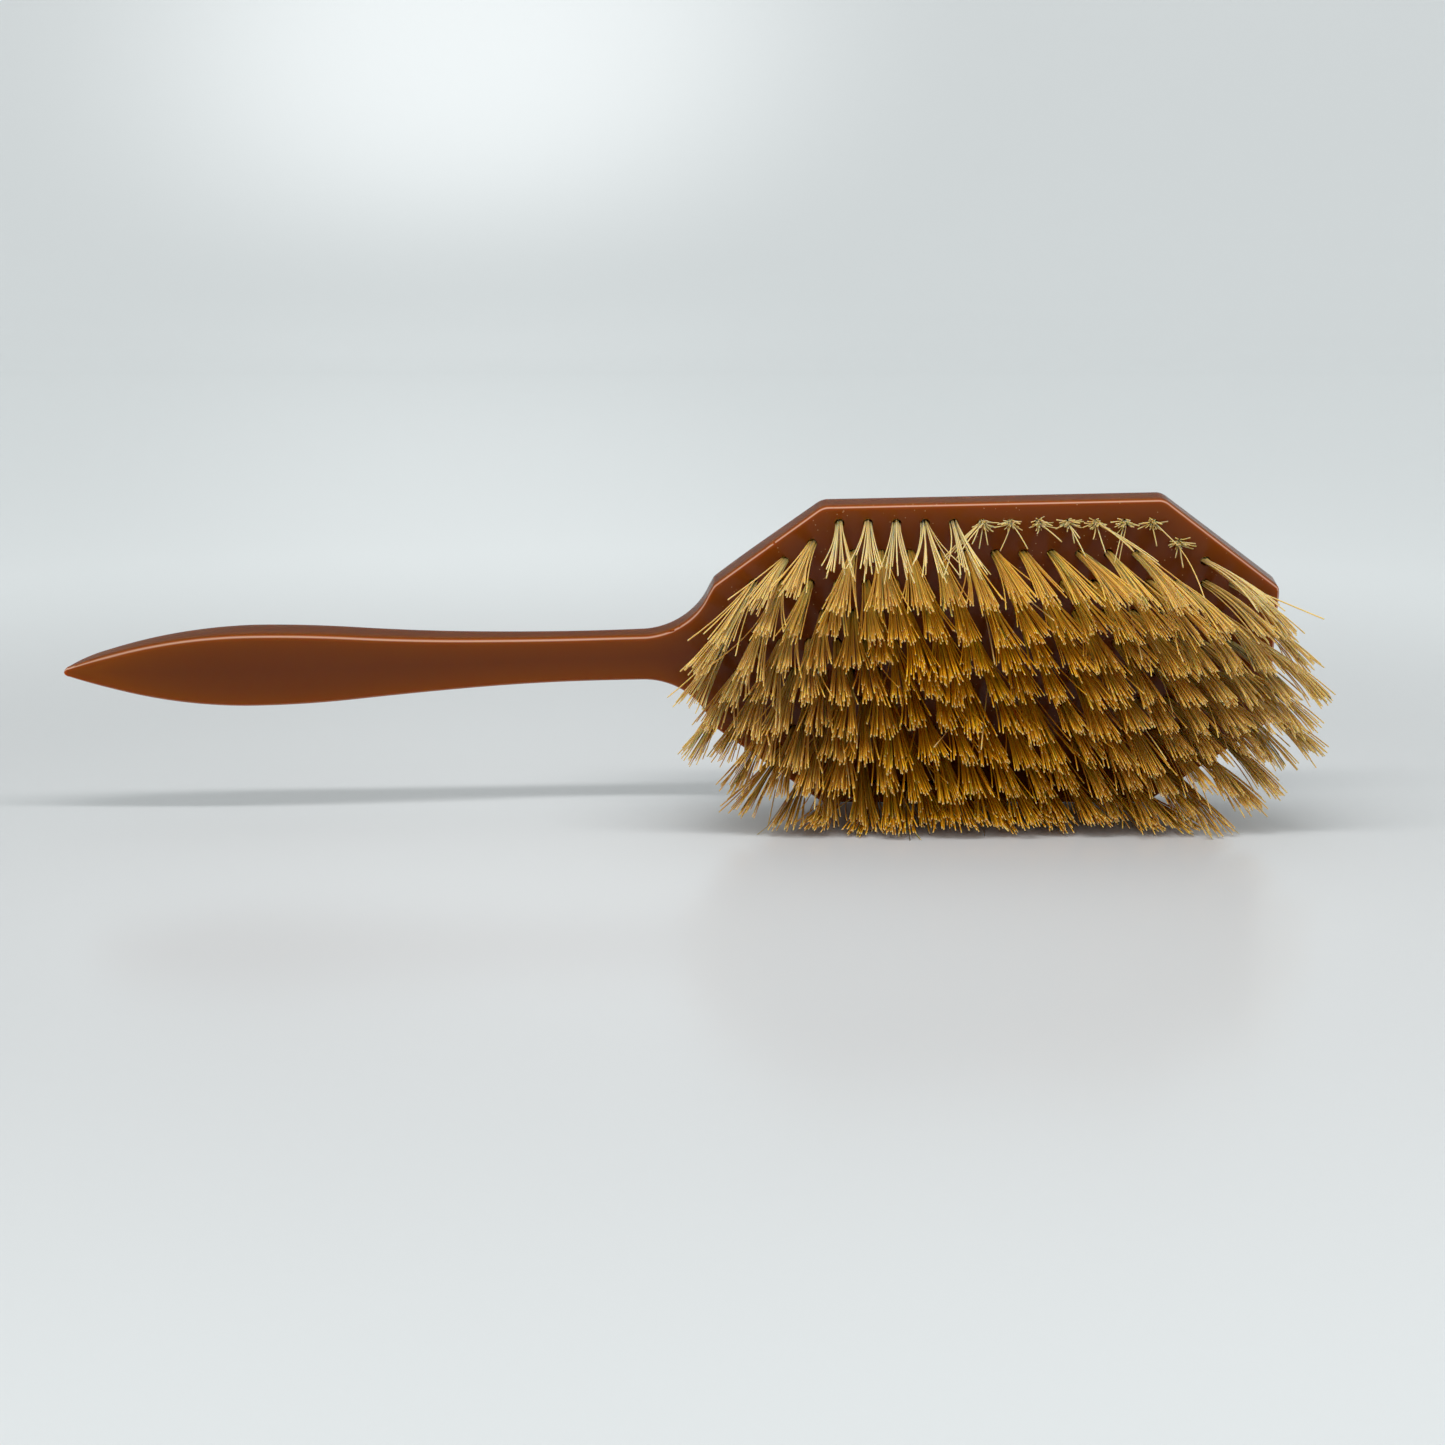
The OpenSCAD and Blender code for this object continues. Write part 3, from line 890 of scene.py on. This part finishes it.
def add_body_attributes(mesh, flat, turn):
    """Stores how close each point is to the thin edges (painted glow), where the rim is (painted
    shade), where the painted highlight runs along the face's edge, and where dust gathers."""
    back = turn.inverted()
    glow, dusty, rim, ridge_highlight = (mesh.attributes.new(name, "FLOAT", "POINT")
                               for name in ("glow", "dusty", "rim", "ridge_highlight"))
    for index, vertex in enumerate(mesh.vertices):
        p = back @ vertex.co
        x = min(max(p.x, flat.tip + 0.05 * MM), flat.s.head_length)
        gap = min(flat.half_width(x, 1) - p.y, flat.half_width(x, -1) + p.y,
                  flat.s.head_length - p.x)
        gap = max(gap, 0.0)
        drop = flat.face(x) - p.z
        on_face = drop < 1.2 * MM
        # Light comes through at the face's edges and at the handle's tip.
        value = math.exp(-gap / (3.2 * MM)) if on_face else 0.2 * math.exp(-gap / (3 * MM))
        # The rim and back are marked here for painted shade in the material.
        rim.data[index].value = 0.0 if drop < 0.5 * MM else 1.0
        # The edge of the face is worn pale, most of all along the upper side.
        # Painted highlight: a pale band along the face's rounded edge, strongest along the upper
        # side.
        stub_or_highlight = abs(drop / MM - 0.14) < 0.08 and gap < 1.2 * MM
        ridge_highlight.data[index].value = (1.0 if p.y > 0 else 0.3) if stub_or_highlight else 0.0
        if p.y < 0 and on_face:
            value = min(1.0, value * 1.15)
        tip = math.exp(-(p.x - flat.tip) / (13 * MM))
        glow.data[index].value = min(1.0, value + 0.8 * tip)
        inside = max(0.0, min(1.0, p.x / (6 * MM))) if on_face else 0.0
        dusty.data[index].value = inside


class HAIRBRUSH_OT_body(bpy.types.Operator):
    """Make the moulded body with its rounded edges, domed back and tuft holes"""
    bl_idname = "hairbrush.body"
    bl_label = "Make body"

    def execute(self, context):
        s = body_settings()
        flat = FlatBrush(s)
        turn = flat.lay_down()
        mesh = shell_mesh(flat)
        bmesh.ops.transform(mesh, matrix=turn, verts=mesh.verts)
        bmesh.ops.recalc_face_normals(mesh, faces=mesh.faces)
        body = new_object("amber_body", mesh)
        cut_away(body, hole_cutters(flat, bristle_settings(), turn))
        cut_away(body, chip_cutters(flat, turn, random.Random(CHIP_SEED)))
        add_body_attributes(body.data, flat, turn)
        body.data.materials.clear()
        body.data.materials.append(amber_material(s))
        body.data.polygons.foreach_set("use_smooth", [True] * len(body.data.polygons))
        body.data.set_sharp_from_angle(angle=math.radians(33))
        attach(body, "root")
        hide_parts(BODY_NODE)
        return {"FINISHED"}


class HAIRBRUSH_OT_bristles(bpy.types.Operator):
    """Make the bristles of every row from its tuft roots"""
    bl_idname = "hairbrush.bristles"
    bl_label = "Make bristles"

    def execute(self, context):
        s = bristle_settings()
        flat = FlatBrush(body_settings())
        turn = flat.lay_down()
        finish = bristle_material(s)
        tree = bristle_tree(finish)
        for row, roots in enumerate(tuft_layout(flat, s), start=1):
            rng = random.Random(ROW_SEED + row)
            points = tuft_points(row, roots, flat, s, turn, rng)
            name = f"bristles_{row:02d}"
            tufts = baked(points_object(name + "_roots", points), tree,
                          {"Thickness": s.thickness, "Hole radius": s.hole / 2,
                           "Floor": 0.0, "Seed": 20 * row}, name)
            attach(tufts, "root")
            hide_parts(f"tuft_row_{row:02d}")
        return {"FINISHED"}


class HAIRBRUSH_OT_anchors(bpy.types.Operator):
    """Give the anchors in the holes their dull brass"""
    bl_idname = "hairbrush.anchors"
    bl_label = "Finish anchors"

    def execute(self, context):
        brass = anchor_material()
        for name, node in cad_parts.items():
            if name.startswith("anchor_row_"):
                node.data.materials.clear()
                node.data.materials.append(brass)
        return {"FINISHED"}


class HAIRBRUSH_OT_stage(bpy.types.Operator):
    """Set up the pale floor and backdrop, the soft light and the camera"""
    bl_idname = "hairbrush.stage"
    bl_label = "Set the stage"

    def execute(self, context):
        s = stage_settings()
        self.sweep(s)
        self.lights(s)
        self.camera(s)
        context.scene.view_settings.view_transform = "Standard"
        return {"FINISHED"}

    @staticmethod
    def sweep(s):
        """Floor that turns up into the backdrop."""
        half, high, bend, steps = 3.0, 2.5, 0.6, 24
        profile = [(-2.0, 0.0)]
        for i in range(steps + 1):
            a = i * math.pi / 2 / steps
            profile.append((s.fold - bend + bend * math.sin(a), bend - bend * math.cos(a)))
        profile.append((s.fold, high))
        mesh = bmesh.new()
        pairs = [[mesh.verts.new((x, y, z)) for x in (-half, half)] for y, z in profile]
        for (a, b), (c, d) in zip(pairs, pairs[1:]):
            mesh.faces.new((a, b, d, c)).smooth = True
        new_object("pale_sweep", mesh, paper_material(s))

    @staticmethod
    def lights(s):
        world = bpy.data.worlds.new("soft_light")
        world.use_nodes = True
        background = world.node_tree.nodes["Background"]
        background.inputs["Color"].default_value = (0.96, 0.99, 0.995, 1.0)
        background.inputs["Strength"].default_value = s.sky
        bpy.context.scene.world = world

        def hang(data, place, aim):
            """Places a light, aims it and keeps it out of reflections."""
            light = bpy.data.objects.new(data.name, data)
            light.location = place
            towards = Vector(aim) - Vector(place)
            light.rotation_euler = towards.to_track_quat("-Z", "Y").to_euler()
            light.visible_glossy = False
            bpy.context.scene.collection.objects.link(light)

        strip = bpy.data.lights.new("strip_light", "AREA")
        strip.shape, strip.size, strip.size_y = "RECTANGLE", 0.34, 0.02
        strip.energy = s.strip
        hang(strip, (0.02, -0.088, 0.26), (0.02, 0.02, 0.0))
        spot = bpy.data.lights.new("backdrop_glow", "SPOT")
        spot.spot_size, spot.spot_blend, spot.shadow_soft_size = math.radians(38), 1.0, 0.1
        spot.energy = s.backlight
        hang(spot, (-0.16, 0.55, 0.65), (-0.16, 1.2, 0.2))

    @staticmethod
    def camera(s):
        data = bpy.data.cameras.new("camera")
        data.lens = s.lens
        data.sensor_width = 36.0
        camera = bpy.data.objects.new("camera", data)
        camera.location = (s.camera_side, -s.camera_distance, s.camera_height)
        camera.rotation_euler = (math.pi / 2 - s.tilt, 0.0, 0.0)
        bpy.context.scene.collection.objects.link(camera)
        bpy.context.scene.camera = camera


class HAIRBRUSH_PT_panel(bpy.types.Panel):
    """Sizes, colours and steps of the hairbrush"""
    bl_idname = "HAIRBRUSH_PT_panel"
    bl_label = "Hairbrush"
    bl_space_type = "VIEW_3D"
    bl_region_type = "UI"
    bl_category = "Hairbrush"

    def draw(self, context):
        for settings, steps in (("hairbrush_body", ("hairbrush.body", "hairbrush.anchors")),
                                ("hairbrush_bristles", ("hairbrush.bristles",)),
                                ("hairbrush_stage", ("hairbrush.stage",))):
            box = self.layout.box()
            group = getattr(context.scene, settings)
            for name in group.__annotations__:
                box.prop(group, name)
            for step in steps:
                box.operator(step)


CLASSES = (BodySettings, BristleSettings, StageSettings, HAIRBRUSH_OT_body,
           HAIRBRUSH_OT_bristles, HAIRBRUSH_OT_anchors, HAIRBRUSH_OT_stage, HAIRBRUSH_PT_panel)


def register():
    for item in CLASSES:
        bpy.utils.register_class(item)
    bpy.types.Scene.hairbrush_body = PointerProperty(type=BodySettings)
    bpy.types.Scene.hairbrush_bristles = PointerProperty(type=BristleSettings)
    bpy.types.Scene.hairbrush_stage = PointerProperty(type=StageSettings)


def unregister():
    del bpy.types.Scene.hairbrush_stage
    del bpy.types.Scene.hairbrush_bristles
    del bpy.types.Scene.hairbrush_body
    for item in reversed(CLASSES):
        bpy.utils.unregister_class(item)


def main():
    register()
    bpy.ops.hairbrush.body()
    bpy.ops.hairbrush.bristles()
    bpy.ops.hairbrush.anchors()
    bpy.ops.hairbrush.stage()


if __name__ == "__main__":
    main()
